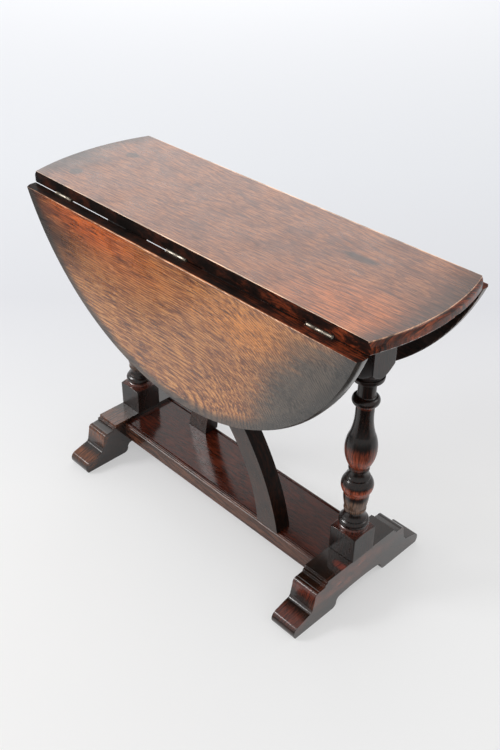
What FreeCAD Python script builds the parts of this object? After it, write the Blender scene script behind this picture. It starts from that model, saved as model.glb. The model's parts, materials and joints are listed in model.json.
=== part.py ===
import FreeCAD, Part
import math
import os

import Sketcher

# A round drop leaf coffee table in dark oak, millimetres.
# X runs along the hinge lines, Y across them, Z up, and the origin is on the floor under the middle.
# The front leaf, its hinges and the front bracket are the back ones turned half way round Z.

Vector = FreeCAD.Vector
Rotation = FreeCAD.Rotation

doc = FreeCAD.newDocument("DropLeafCoffeeTable")
sheet = doc.addObject("Spreadsheet::Sheet", "Sizes")
sheet_names = []


class Size:
    """A length: its number now, and the sheet formula that other objects are bound to."""

    def __init__(self, number, formula):
        self.number = number
        self.formula = formula

    def __add__(self, other):
        return Size(self.number + other.number, f"({self.formula} + {other.formula})")

    def __sub__(self, other):
        return Size(self.number - other.number, f"({self.formula} - {other.formula})")

    def __mul__(self, share):
        return Size(self.number * share, f"({self.formula} * ({share}))")

    def __truediv__(self, count):
        return Size(self.number / count, f"({self.formula} / {count})")

    def __neg__(self):
        return self * -1

    __rmul__ = __mul__


def size(name, number):
    """One driving dimension: its name in column A, its number and alias in column B."""
    sheet_names.append(name)
    row = len(sheet_names)
    sheet.set(f"A{row}", name)
    sheet.set(f"B{row}", str(number))
    sheet.setAlias(f"B{row}", name)
    return Size(number, f"Sizes.{name}")


def half_chord(radius, offset):
    """Half the length of a circle's chord that lies offset from the centre."""
    number = math.sqrt(radius.number**2 - offset.number**2)
    return Size(number, f"sqrt({radius.formula}^2 - {offset.formula}^2)")


# The whole table
table_height = size("table_height", 508.0)
overrun = size("overrun", 5.0)

# The round top, cut into a centre board and two leaves
top_radius = size("top_radius", 338.5)
top_thickness = size("top_thickness", 17.5)
centre_board_width = size("centre_board_width", 214.0)
leaf_joint_gap = size("leaf_joint_gap", 0.6)
rim_inset = size("rim_inset", 3.5)
rim_step = size("rim_step", 1.4)
rim_land = size("rim_land", 5.0)
rim_under_round = size("rim_under_round", 2.5)
worn_corner_radius = size("worn_corner_radius", 9.0)

# The butt hinges
hinge_length = size("hinge_length", 38.0)
hinge_spacing = size("hinge_spacing", 248.0)
hinge_axis_drop = size("hinge_axis_drop", 0.4)
barrel_radius = size("barrel_radius", 2.4)
hinge_pin_radius = size("hinge_pin_radius", 1.1)
plate_thickness = size("plate_thickness", 1.8)
plate_reach = size("plate_reach", 20.0)
plate_setback = size("plate_setback", 3.4)
knuckle_gap = size("knuckle_gap", 0.5)
running_gap = size("running_gap", 0.05)
recess_gap = size("recess_gap", 0.2)
barrel_relief = size("barrel_relief", 0.4)
barrel_end_gap = size("barrel_end_gap", 3.0)
screw_spread = size("screw_spread", 13.0)
screw_reach = size("screw_reach", 12.0)
screw_stagger = size("screw_stagger", 3.0)
screw_head_radius = size("screw_head_radius", 2.4)
screw_shank_radius = size("screw_shank_radius", 1.2)
screw_length = size("screw_length", 11.0)

# The turned legs
leg_spacing = size("leg_spacing", 486.0)
leg_width = size("leg_width", 46.0)
spigot_radius = size("spigot_radius", 12.0)
spigot_length = size("spigot_length", 32.0)

# The sledge feet
foot_length = size("foot_length", 278.0)
foot_height = size("foot_height", 69.0)
foot_thickness = size("foot_thickness", 44.0)

# The shelf between the feet
shelf_top = size("shelf_top", 62.0)
shelf_width = size("shelf_width", 106.0)
shelf_thickness = size("shelf_thickness", 29.0)
shelf_bead = size("shelf_bead", 5.0)
shelf_tenon_width = size("shelf_tenon_width", 74.0)
shelf_tenon_height = size("shelf_tenon_height", 12.0)
mortise_wall = size("mortise_wall", 2.0)
tenon_length = size("tenon_length", 14.0)
joint_gap = size("joint_gap", 0.1)

# The rail under the top, between the leg blocks
rail_depth = size("rail_depth", 44.0)
rail_thickness = size("rail_thickness", 20.0)
rail_tenon_height = size("rail_tenon_height", 30.0)
rail_tenon_thickness = size("rail_tenon_thickness", 9.0)
rail_screw_spacing = size("rail_screw_spacing", 150.0)
rail_screw_length = size("rail_screw_length", 22.0)
rail_screw_radius = size("rail_screw_radius", 2.0)
rail_screw_head = size("rail_screw_head", 4.0)
rail_bore_radius = size("rail_bore_radius", 5.0)
rail_screw_bite = size("rail_screw_bite", 10.0)

# The swing brackets
bracket_thickness = size("bracket_thickness", 27.0)
bracket_foot_width = size("bracket_foot_width", 42.0)
bracket_reach = size("bracket_reach", 220.0)
bracket_pivot_along = size("bracket_pivot_along", 125.0)
bracket_proud = size("bracket_proud", 1.5)
bracket_rail_depth = size("bracket_rail_depth", 24.0)
bracket_nose = size("bracket_nose", 12.0)
bracket_foot_gap = size("bracket_foot_gap", 0.4)
bracket_top_gap = size("bracket_top_gap", 1.5)
bracket_tenon_thickness = size("bracket_tenon_thickness", 9.0)
foot_pin_radius = size("foot_pin_radius", 5.0)
foot_pin_bite = size("foot_pin_bite", 18.0)
foot_pin_rise = size("foot_pin_rise", 24.0)
top_pin_radius = size("top_pin_radius", 4.0)
top_pin_bite = size("top_pin_bite", 10.0)

# Places worked out from the sizes above
underside = table_height - top_thickness
board_edge = centre_board_width / 2
leaf_edge = board_edge + leaf_joint_gap
hinge_line = board_edge + leaf_joint_gap / 2
plate_let_in = barrel_radius - hinge_axis_drop
leg_height = underside - foot_height
leg_place = leg_spacing / 2
shelf_length = leg_spacing - foot_thickness
shelf_tenon_length = foot_thickness / 2 - spigot_radius - mortise_wall
rail_length = leg_spacing - leg_width
bracket_pivot_out = shelf_width / 2 + bracket_proud - bracket_thickness / 2
bracket_foot_level = shelf_top + bracket_foot_gap
bracket_rail_level = underside - bracket_top_gap - bracket_rail_depth
arm_height = bracket_rail_level - bracket_foot_level
hinge_shares = (-1, 0, 1)
countersink_degrees = 90
leaf_lean_degrees = 2
leaf_drop = math.radians(90 + leaf_lean_degrees)

doc.recompute()


# Sketching

def flat_vector(point):
    """The point of a sketch as a vector, from two sizes or zeros."""
    return Vector(*[value.number if isinstance(value, Size) else 0 for value in point])


def arc_through(start, middle, finish):
    """The arc through three points, and whether it runs anticlockwise from start to finish."""
    circle = Part.Circle(start, middle, finish)
    anticlockwise = (middle - start).cross(finish - middle).z > 0
    first, last = (start, finish) if anticlockwise else (finish, start)
    turns = [math.atan2(point.y - circle.Center.y, point.x - circle.Center.x) for point in (first, last)]
    if turns[1] < turns[0]:
        turns[1] += 2 * math.pi
    upright = Part.Circle(circle.Center, Vector(0, 0, 1), circle.Radius)
    return Part.ArcOfCircle(upright, *turns), anticlockwise


def place_rules(curve, end, point):
    """The rules that hold one point of a curve at its place from the sketch's origin."""
    rules = []
    for kind, axis, value in (("DistanceX", -2, point[0]), ("DistanceY", -1, point[1])):
        if isinstance(value, Size):
            rule = Sketcher.Constraint(kind, -1, 1, curve, end, value.number)
            rules.append((rule, value.formula))
        else:
            rules.append((Sketcher.Constraint("PointOnObject", curve, end, axis), None))
    return rules


def add_rules(sketch, rules):
    """Adds the rules at once and binds each dimension to its formula."""
    first = sketch.ConstraintCount
    sketch.addConstraint([rule for rule, formula in rules])
    for index, (rule, formula) in enumerate(rules, start=first):
        if formula:
            sketch.setExpression(f"Constraints[{index}]", formula)


def origin_plane(body, role):
    """The body's own origin plane of that role."""
    return next(plane for plane in body.Origin.OriginFeatures if plane.Role == role)


def add_sketch(body, name, role, away=None):
    """A sketch on one of the body's own origin planes, moved along its normal by away."""
    sketch = body.newObject("Sketcher::SketchObject", name)
    sketch.AttachmentSupport = [(origin_plane(body, role), "")]
    sketch.MapMode = "FlatFace"
    if away is not None:
        sketch.setExpression("AttachmentOffset.Base.z", away.formula)
    return sketch


def draw_outline(sketch, outline):
    """A closed outline: a point is (across, up), and where an arc ends, its middle follows."""
    rules = []
    curves = []
    for index, corner in enumerate(outline):
        start = flat_vector(outline[index - 1][:2])
        finish = flat_vector(corner[:2])
        if len(corner) == 2:
            curve = sketch.addGeometry(Part.LineSegment(start, finish))
            curves.append((curve, 1, 2))
        else:
            middle = flat_vector(corner[2:])
            arc, anticlockwise = arc_through(start, middle, finish)
            curve = sketch.addGeometry(arc)
            curves.append((curve, 1, 2) if anticlockwise else (curve, 2, 1))
            mark = sketch.addGeometry(Part.Point(middle), True)
            rules += place_rules(mark, 1, corner[2:])
            rules.append((Sketcher.Constraint("PointOnObject", mark, 1, curve), None))
    for index, (curve, start_end, finish_end) in enumerate(curves):
        following, following_start, following_finish = curves[(index + 1) % len(curves)]
        join = Sketcher.Constraint("Coincident", curve, finish_end, following, following_start)
        rules.append((join, None))
        rules += place_rules(curve, finish_end, outline[index][:2])
    add_rules(sketch, rules)


def scaled(rows, across, up):
    """Rows of shares turned into an outline's sizes: shares of across and of up in turn."""
    units = (across, up, across, up)
    return [tuple(unit * share if share else 0 for unit, share in zip(units, row)) for row in rows]


def shifted(row, across, up):
    """A row of an outline moved by across and up."""
    units = (across, up, across, up)
    return tuple(unit + value if isinstance(value, Size) else unit for unit, value in zip(units, row))


def draw_rectangle(sketch, left, right, low, high):
    """A rectangle between two places across and two places up."""
    draw_outline(sketch, [(left, low), (right, low), (right, high), (left, high)])


def draw_circles(sketch, centres, radius):
    """Circles of one radius at the given centres."""
    for centre in centres:
        circle = Part.Circle(flat_vector(centre), Vector(0, 0, 1), radius.number)
        curve = sketch.addGeometry(circle)
        rules = place_rules(curve, 3, centre)
        rules.append((Sketcher.Constraint("Radius", curve, radius.number), radius.formula))
        add_rules(sketch, rules)


# Features

def extrude(body, kind, sketch, length, symmetric=False, upward=True):
    """A Pad or Pocket of a sketch: both ways, or one way along or against its normal."""
    feature = body.newObject(f"PartDesign::{kind}", sketch.Name + kind)
    feature.Profile = sketch
    feature.SideType = "Symmetric" if symmetric else "One side"
    feature.Reversed = upward == (kind == "Pocket")
    feature.setExpression("Length", length.formula)
    return feature


def turn_away(body, sketch):
    """A full groove of a sketch about its upright axis."""
    groove = body.newObject("PartDesign::Groove", sketch.Name + "Groove")
    groove.Profile = sketch
    groove.ReferenceAxis = (sketch, ["V_Axis"])
    groove.Angle = 360
    return groove


def drill(body, sketch, radius, cut, cut_radius, cut_depth=None):
    """Through holes that run up from the sketch, with a countersink or counterbore at their mouth."""
    doc.recompute()
    hole = body.newObject("PartDesign::Hole", sketch.Name + "Hole")
    hole.Profile = sketch
    hole.Reversed = True
    hole.DepthType = "ThroughAll"
    hole.setExpression("Diameter", (radius * 2).formula)
    hole.HoleCutType = cut
    hole.HoleCutCustomValues = True
    hole.setExpression("HoleCutDiameter", (cut_radius * 2).formula)
    if cut_depth is None:
        hole.HoleCutCountersinkAngle = countersink_degrees
    else:
        hole.setExpression("HoleCutDepth", cut_depth.formula)
    return hole


def new_body(label):
    """A body whose label names the sub-part."""
    body = doc.addObject("PartDesign::Body", label)
    body.Label = label
    return body


def seat(piece, across, along, up, rotation=Rotation()):
    """Places a sub-part in the table's frame, each coordinate bound to its formula."""
    piece.Placement = FreeCAD.Placement(Vector(), rotation)
    for axis, value in zip("xyz", (across, along, up)):
        if isinstance(value, Size):
            piece.setExpression(f"Placement.Base.{axis}", value.formula)


def turned(side):
    """The half turn about Z that takes a front piece to the back, or a right one to the left."""
    return Rotation(Vector(0, 0, 1), 0 if side == 1 else 180)


# The round top

def mould_rim(body):
    """The thumbnail edge of the round top: a step, a long quarter round and an eased underside."""
    step_place = top_radius - rim_inset
    step_foot = top_thickness - rim_step
    eased = rim_under_round * (1 - math.cos(math.pi / 4))
    thumb_middle = (top_radius - rim_inset * (1 - math.cos(math.pi / 4)),
                    rim_land + (step_foot - rim_land) * math.sin(math.pi / 4))
    sketch = add_sketch(body, "RimMoulding", "XZ_Plane")
    draw_outline(sketch, [
        (step_place, top_thickness + overrun),
        (step_place, step_foot),
        (top_radius, rim_land) + thumb_middle,
        (top_radius, rim_under_round),
        (top_radius - rim_under_round, 0, top_radius - eased, eased),
        (top_radius - rim_under_round, -overrun),
        (top_radius + overrun, -overrun),
        (top_radius + overrun, top_thickness + overrun),
    ])
    turn_away(body, sketch)


def hinge_seats(body, name, line, inward):
    """Recesses for three hinge plates, room for their barrels and pilot holes for their screws."""
    edge_side = line - (hinge_line - board_edge + overrun) * inward
    reach = line + (plate_reach + recess_gap) * inward
    half_length = hinge_length / 2 + recess_gap
    recess = add_sketch(body, name + "Recess", "XY_Plane")
    pilots = add_sketch(body, name + "Pilots", "XY_Plane")
    for share in hinge_shares:
        middle = hinge_spacing * share
        draw_rectangle(recess, middle - half_length, middle + half_length, edge_side, reach)
        centres = [(middle + along, line + out * inward) for along, out in screw_places()]
        draw_circles(pilots, centres, screw_shank_radius + running_gap)
    extrude(body, "Pocket", recess, plate_let_in)
    pilot_depth = barrel_radius - plate_thickness - hinge_axis_drop + screw_length + recess_gap
    extrude(body, "Pocket", pilots, pilot_depth)
    for share in hinge_shares:
        barrel = add_sketch(body, f"{name}Barrel{share + 2}", "YZ_Plane", hinge_spacing * share)
        draw_circles(barrel, [(line, -hinge_axis_drop)], barrel_radius + barrel_relief)
        extrude(body, "Pocket", barrel, hinge_length + barrel_end_gap * 2, symmetric=True)


def screw_places():
    """Where a plate's three screws stand, along the hinge and out from its axis."""
    rows = ((-1, -1), (0, 1), (1, -1))
    return [(screw_spread * along, screw_reach + screw_stagger * out) for along, out in rows]


def round_corner(body, name, across, along, radius):
    """Rounds the one upright edge that stands at the given place."""
    doc.recompute()
    solid = body.Tip
    corner = Vector(across.number, along.number, 0)
    names = []
    for index, edge in enumerate(solid.Shape.Edges, start=1):
        ends = [vertex.Point for vertex in edge.Vertexes]
        if all(math.hypot(end.x - corner.x, end.y - corner.y) < radius.number / 2 for end in ends):
            if abs(ends[0].z - ends[-1].z) > radius.number / 2:
                names.append(f"Edge{index}")
    fillet = body.newObject("PartDesign::Fillet", name)
    fillet.Base = (solid, names)
    fillet.setExpression("Radius", radius.formula)


def make_top_board():
    """The fixed board: a slice of the round top with straight hinge edges and moulded ends."""
    body = new_body("top_board")
    corner = half_chord(top_radius, board_edge)
    outline = add_sketch(body, "Board", "XY_Plane")
    draw_outline(outline, [
        (-corner, -board_edge, -top_radius, 0),
        (corner, -board_edge),
        (corner, board_edge, top_radius, 0),
        (-corner, board_edge),
    ])
    extrude(body, "Pad", outline, top_thickness)
    round_corner(body, "WornCorner", corner, board_edge, worn_corner_radius)
    mould_rim(body)
    hinge_seats(body, "Front", -hinge_line, 1)
    hinge_seats(body, "Back", hinge_line, -1)
    rail_pilots = add_sketch(body, "RailPilots", "XY_Plane")
    draw_circles(rail_pilots, rail_screw_centres(), rail_screw_radius + running_gap)
    extrude(body, "Pocket", rail_pilots, rail_screw_bite + recess_gap)
    pin_bores = add_sketch(body, "PinBores", "XY_Plane")
    draw_circles(pin_bores, bracket_pivots(), top_pin_radius + running_gap)
    extrude(body, "Pocket", pin_bores, top_pin_bite)
    seat(body, 0, 0, underside)


def hanging(side):
    """The turn that drops a raised leaf, or what is fixed to it, until it leans a little inward."""
    return turned(side) * Rotation(Vector(1, 0, 0), math.degrees(leaf_drop))


def make_leaf(name, side):
    """A drop leaf: the rest of the round top beyond the joint, drawn raised and seated hanging."""
    body = new_body(f"{name}_leaf")
    corner = half_chord(top_radius, leaf_edge)
    outline = add_sketch(body, "Leaf", "XY_Plane")
    draw_outline(outline, [(-corner, -leaf_edge, 0, -top_radius), (corner, -leaf_edge)])
    extrude(body, "Pad", outline, top_thickness)
    mould_rim(body)
    hinge_seats(body, "Leaf", -hinge_line, -1)
    across, down = math.cos(leaf_drop), math.sin(leaf_drop)
    out = hinge_line - hinge_line * across + hinge_axis_drop * down
    up = underside - hinge_axis_drop + hinge_line * down + hinge_axis_drop * across
    seat(body, 0, -side * out, up, hanging(side))


# The hinges

def make_hinge_plate(label, outline, knuckles, inward):
    """One plate of a butt hinge, rolled round the pin, with three countersunk holes."""
    body = new_body(label)
    blank = add_sketch(body, "Blank", "XY_Plane", barrel_radius - plate_thickness)
    draw_outline(blank, outline)
    extrude(body, "Pad", blank, plate_thickness)
    for index, (start, length) in enumerate(knuckles):
        knuckle = add_sketch(body, f"Knuckle{index + 1}", "YZ_Plane", start)
        draw_circles(knuckle, [(0, 0)], barrel_radius)
        extrude(body, "Pad", knuckle, length)
    bore = add_sketch(body, "PinBore", "YZ_Plane")
    draw_circles(bore, [(0, 0)], hinge_pin_radius + running_gap)
    extrude(body, "Pocket", bore, hinge_length + overrun, symmetric=True)
    holes = add_sketch(body, "ScrewHoles", "XY_Plane", barrel_radius - plate_thickness)
    centres = [(along, out * inward) for along, out in screw_places()]
    draw_circles(holes, centres, screw_shank_radius)
    drill(body, holes, screw_shank_radius + running_gap, "Countersink", screw_head_radius + running_gap)
    return body


def make_hinges(name, side):
    """Three butt hinges: a plate on the board, a plate on the leaf, and the pin between them."""
    half = hinge_length / 2
    outer = hinge_length / 6 + knuckle_gap / 2
    inner = hinge_length / 6 - knuckle_gap / 2
    board_outline = [(-half, 0), (-outer, 0), (-outer, plate_setback), (outer, plate_setback),
                     (outer, 0), (half, 0), (half, plate_reach), (-half, plate_reach)]
    leaf_outline = [(-half, -plate_setback), (-inner, -plate_setback), (-inner, 0), (inner, 0),
                    (inner, -plate_setback), (half, -plate_setback), (half, -plate_reach),
                    (-half, -plate_reach)]
    for number, share in enumerate(hinge_shares, start=1):
        place = (side * share * hinge_spacing, -side * hinge_line, underside - hinge_axis_drop)
        board_knuckles = [(-half, half - outer), (outer, half - outer)]
        board_plate = make_hinge_plate(f"{name}_board_plate_{number}", board_outline, board_knuckles, 1)
        seat(board_plate, *place, turned(side))
        leaf_knuckles = [(-inner, inner * 2)]
        leaf_plate = make_hinge_plate(f"{name}_leaf_plate_{number}", leaf_outline, leaf_knuckles, -1)
        seat(leaf_plate, *place, hanging(side))
        pin = doc.addObject("Part::Cylinder", f"{name}_hinge_pin_{number}")
        pin.setExpression("Radius", hinge_pin_radius.formula)
        pin.setExpression("Height", hinge_length.formula)
        start = share * hinge_spacing - half
        seat(pin, start if side == 1 else -start, *place[1:], turned(side) * Rotation(Vector(0, 1, 0), 90))


def screw_shape(head_radius, shank_radius, length, countersunk):
    """A wood screw, countersunk or round headed, that stands head down on its origin."""
    head_depth = head_radius.number - shank_radius.number
    radii = (head_radius.number, shank_radius.number)
    head = Part.makeCone(*(radii if countersunk else reversed(radii)), head_depth)
    shank = Part.makeCylinder(shank_radius.number, length.number - shank_radius.number)
    point_level = Vector(0, 0, length.number - shank_radius.number)
    point = Part.makeCone(shank_radius.number, 0, shank_radius.number, point_level)
    slot_width = head_radius.number / 4
    slot = Part.makeBox(head_radius.number * 2, slot_width, head_depth / 2,
                        Vector(-head_radius.number, -slot_width / 2, 0))
    return head.fuse([shank, point]).cut(slot)


def make_screws(label, centres, level, pattern, placement):
    """A group of equal screws, at flat places and one level, moved together by a placement."""
    screws = []
    for centre in centres:
        screw = pattern.copy()
        screw.translate(flat_vector(centre) + Vector(0, 0, level.number))
        screws.append(screw)
    group = doc.addObject("Part::Feature", label)
    group.Shape = Part.makeCompound(screws)
    group.Placement = placement


def make_hinge_screws(name, side):
    """The screws of three hinges: nine up into the board and nine into the leaf."""
    pattern = screw_shape(screw_head_radius, screw_shank_radius, screw_length, True)
    level = barrel_radius - plate_thickness
    base = Vector(0, -side * hinge_line.number, (underside - hinge_axis_drop).number)
    for piece, inward, rotation in (("board", 1, turned(side)), ("leaf", -1, hanging(side))):
        centres = [(hinge_spacing * share + along, out * inward)
                   for share in hinge_shares for along, out in screw_places()]
        placement = FreeCAD.Placement(base, rotation)
        make_screws(f"{name}_{piece}_screws", centres, level, pattern, placement)


# The legs

# The turning from the upper block down to the lower one, as shares of half the leg's width and of
# its height. Where a curve ends its middle follows.
turning_shares = [
    (1.445, 0.777),
    (0.960, 0.742, 1.220, 0.761),
    (0.840, 0.7405),
    (0.840, 0.733),
    (0.955, 0.732),
    (0.925, 0.717, 0.955, 0.724),
    (0.840, 0.714),
    (0.535, 0.710),
    (0.535, 0.656),
    (0.600, 0.653),
    (0.570, 0.620, 0.820, 0.6365),
    (0.552, 0.618),
    (0.552, 0.592),
    (0.748, 0.506, 0.575, 0.556),
    (0.640, 0.376, 0.978, 0.439),
    (0.590, 0.373),
    (0.645, 0.369),
    (0.645, 0.361),
    (0.595, 0.358),
    (0.740, 0.332, 0.615, 0.342),
    (0.760, 0.328),
    (0.730, 0.325),
    (0.800, 0.264, 1.005, 0.295),
    (0.795, 0.261),
    (0.655, 0.197, 0.775, 0.230),
    (0.705, 0.193),
    (0.705, 0.187),
    (0.650, 0.184),
    (0.770, 0.156, 0.645, 0.169),
    (0.810, 0.153),
    (0.790, 0.149),
    (0.860, 0.124, 0.955, 0.137),
    (0.930, 0.121),
    (0.930, 0.107, 0.965, 0.114),
    (1.445, 0.099, 1.170, 0.104),
]


def make_leg(name, side):
    """A baluster turned from a square post that keeps its blocks, with a round spigot below."""
    body = new_body(f"{name}_leg")
    half = leg_width / 2
    outside = leg_width + overrun
    post = add_sketch(body, "Post", "XY_Plane")
    draw_rectangle(post, -half, half, -half, half)
    extrude(body, "Pad", post, leg_height)
    turning = scaled(turning_shares, half, leg_height)
    waste = add_sketch(body, "Turning", "XZ_Plane")
    draw_outline(waste, turning + [(outside, turning[-1][1]), (outside, turning[0][1])])
    turn_away(body, waste)
    spigot = add_sketch(body, "Spigot", "XY_Plane")
    draw_circles(spigot, [(0, 0)], spigot_radius)
    extrude(body, "Pad", spigot, spigot_length, upward=False)
    mortise = add_sketch(body, "RailMortise", "YZ_Plane", -half)
    wide = rail_tenon_thickness / 2 + joint_gap
    middle = leg_height - rail_depth / 2
    tall = rail_tenon_height / 2 + joint_gap
    draw_rectangle(mortise, -wide, wide, middle - tall, middle + tall)
    extrude(body, "Pocket", mortise, tenon_length + joint_gap)
    seat(body, side * leg_place, 0, foot_height, turned(side))


# The feet

# Half of a foot's side, as shares of half its length and of its height: from the toe up over its
# two rolls and a small step to the flat top, then from the crown of the arch out to the pad.
toe_shares = [
    (-0.985, 0),
    (-0.964, 0.290, -1.012, 0.140),
    (-0.804, 0.383),
    (-0.741, 0.500, -0.760, 0.418),
    (-0.716, 0.740),
    (-0.645, 0.862, -0.702, 0.832),
    (-0.571, 0.872),
    (-0.568, 0.932),
    (-0.537, 0.938),
    (-0.534, 1.000),
]
arch_shares = [
    (0, 0.283),
    (-0.302, 0.250, -0.150, 0.275),
    (-0.367, 0.130, -0.350, 0.215),
    (-0.417, 0, -0.384, 0.040),
]


def make_foot(name, side):
    """A sledge foot: rolled, stepped toes at both ends and a shallow arch between two pads."""
    body = new_body(f"{name}_foot")
    half = foot_length / 2
    profile = add_sketch(body, "HalfSide", "YZ_Plane")
    toe = scaled(toe_shares, half, foot_height)
    arch = scaled(arch_shares, half, foot_height)
    draw_outline(profile, toe + [(0, foot_height)] + arch)
    front = extrude(body, "Pad", profile, foot_thickness, symmetric=True)
    rear = body.newObject("PartDesign::Mirrored", "RearHalf")
    rear.Originals = [front]
    rear.MirrorPlane = (origin_plane(body, "XZ_Plane"), [""])
    body.Tip = rear
    spigot_hole = add_sketch(body, "SpigotHole", "XY_Plane", foot_height)
    draw_circles(spigot_hole, [(0, 0)], spigot_radius + joint_gap)
    extrude(body, "Pocket", spigot_hole, spigot_length + joint_gap, upward=False)
    mortise = add_sketch(body, "ShelfMortise", "YZ_Plane", -foot_thickness / 2)
    wide = shelf_tenon_width / 2 + joint_gap
    middle = shelf_top - shelf_thickness / 2
    tall = shelf_tenon_height / 2 + joint_gap
    draw_rectangle(mortise, -wide, wide, middle - tall, middle + tall)
    extrude(body, "Pocket", mortise, shelf_tenon_length + joint_gap)
    seat(body, side * leg_place, 0, 0, turned(side))


# The shelf

# One long edge of the shelf, as shares of the bead's width in from the edge and up from the top:
# the quirk, the bead and the small fillet below it, down to the flat edge.
bead_shares = [
    (-1.45, 0),
    (-1.20, -0.42),
    (-0.98, -0.08),
    (0, -0.62, -0.26, -0.10),
    (-0.22, -0.80),
    (0, -0.98),
]


def make_shelf():
    """The long shelf: a thick board with a beaded edge on both sides and a stub tenon at each end."""
    body = new_body("shelf")
    half = shelf_width / 2
    edge = scaled(bead_shares, shelf_bead, shelf_bead)
    right_edge = [shifted(row, half, shelf_thickness) for row in edge]
    profile = add_sketch(body, "HalfSection", "YZ_Plane")
    draw_outline(profile, [(0, shelf_thickness)] + right_edge + [(half, 0), (0, 0)])
    rear = extrude(body, "Pad", profile, shelf_length, symmetric=True)
    front = body.newObject("PartDesign::Mirrored", "FrontHalf")
    front.Originals = [rear]
    front.MirrorPlane = (origin_plane(body, "XZ_Plane"), [""])
    body.Tip = front
    tenon = add_sketch(body, "Tenon", "YZ_Plane")
    wide = shelf_tenon_width / 2
    middle = shelf_thickness / 2
    tall = shelf_tenon_height / 2
    draw_rectangle(tenon, -wide, wide, middle - tall, middle + tall)
    extrude(body, "Pad", tenon, shelf_length + shelf_tenon_length * 2, symmetric=True)
    bores = add_sketch(body, "PinBores", "XY_Plane", shelf_thickness)
    draw_circles(bores, bracket_pivots(), foot_pin_radius + running_gap)
    extrude(body, "Pocket", bores, foot_pin_bite, upward=False)
    seat(body, 0, 0, shelf_top - shelf_thickness)


# The rail under the top

def rail_screw_centres():
    """The three screws that hold the top board down to the rail."""
    return [(rail_screw_spacing * share if share else 0, 0) for share in hinge_shares]


def make_top_rail():
    """The rail between the leg blocks, tenoned into both and counterbored for the top's screws."""
    body = new_body("top_rail")
    section = add_sketch(body, "Section", "YZ_Plane")
    draw_rectangle(section, -rail_thickness / 2, rail_thickness / 2, -rail_depth, 0)
    extrude(body, "Pad", section, rail_length, symmetric=True)
    tenon = add_sketch(body, "Tenon", "YZ_Plane")
    wide = rail_tenon_thickness / 2
    tall = rail_tenon_height / 2
    middle = -rail_depth / 2
    draw_rectangle(tenon, -wide, wide, middle - tall, middle + tall)
    extrude(body, "Pad", tenon, rail_length + tenon_length * 2, symmetric=True)
    bores = add_sketch(body, "ScrewBores", "XY_Plane", -rail_depth)
    draw_circles(bores, rail_screw_centres(), rail_screw_radius)
    head_depth = rail_screw_head - rail_screw_radius
    bore_depth = rail_depth + rail_screw_bite - rail_screw_length + head_depth
    drill(body, bores, rail_screw_radius + running_gap, "Counterbore", rail_bore_radius, bore_depth)
    seat(body, 0, 0, underside)


def make_rail_screws():
    """The three long screws of the rail, heads up in their bores and points in the board."""
    pattern = screw_shape(rail_screw_head, rail_screw_radius, rail_screw_length, False)
    placement = FreeCAD.Placement(Vector(0, 0, underside.number), Rotation())
    level = rail_screw_bite - rail_screw_length
    make_screws("rail_screws", rail_screw_centres(), level, pattern, placement)


# The swing brackets

def bracket_pivots():
    """The upright axes of the two brackets, front right and back left."""
    return [(side * bracket_pivot_along, -side * bracket_pivot_out) for side in (1, -1)]


# The arm's curve above its foot, as shares of the bracket's reach and of the arm's height: up the
# outer side to the head, then down the inner side.
arm_outer_shares = [
    (-0.227, 0.388, 0.014, 0.154),
    (-0.818, 1.000, -0.570, 0.680),
]
arm_inner_shares = [
    (-0.959, 1.000),
    (-0.377, 0.358, -0.743, 0.659),
]
arm_belly_share = -0.195, 0.203
tenon_start_share = -0.935
tenon_end_share = -0.845


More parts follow.
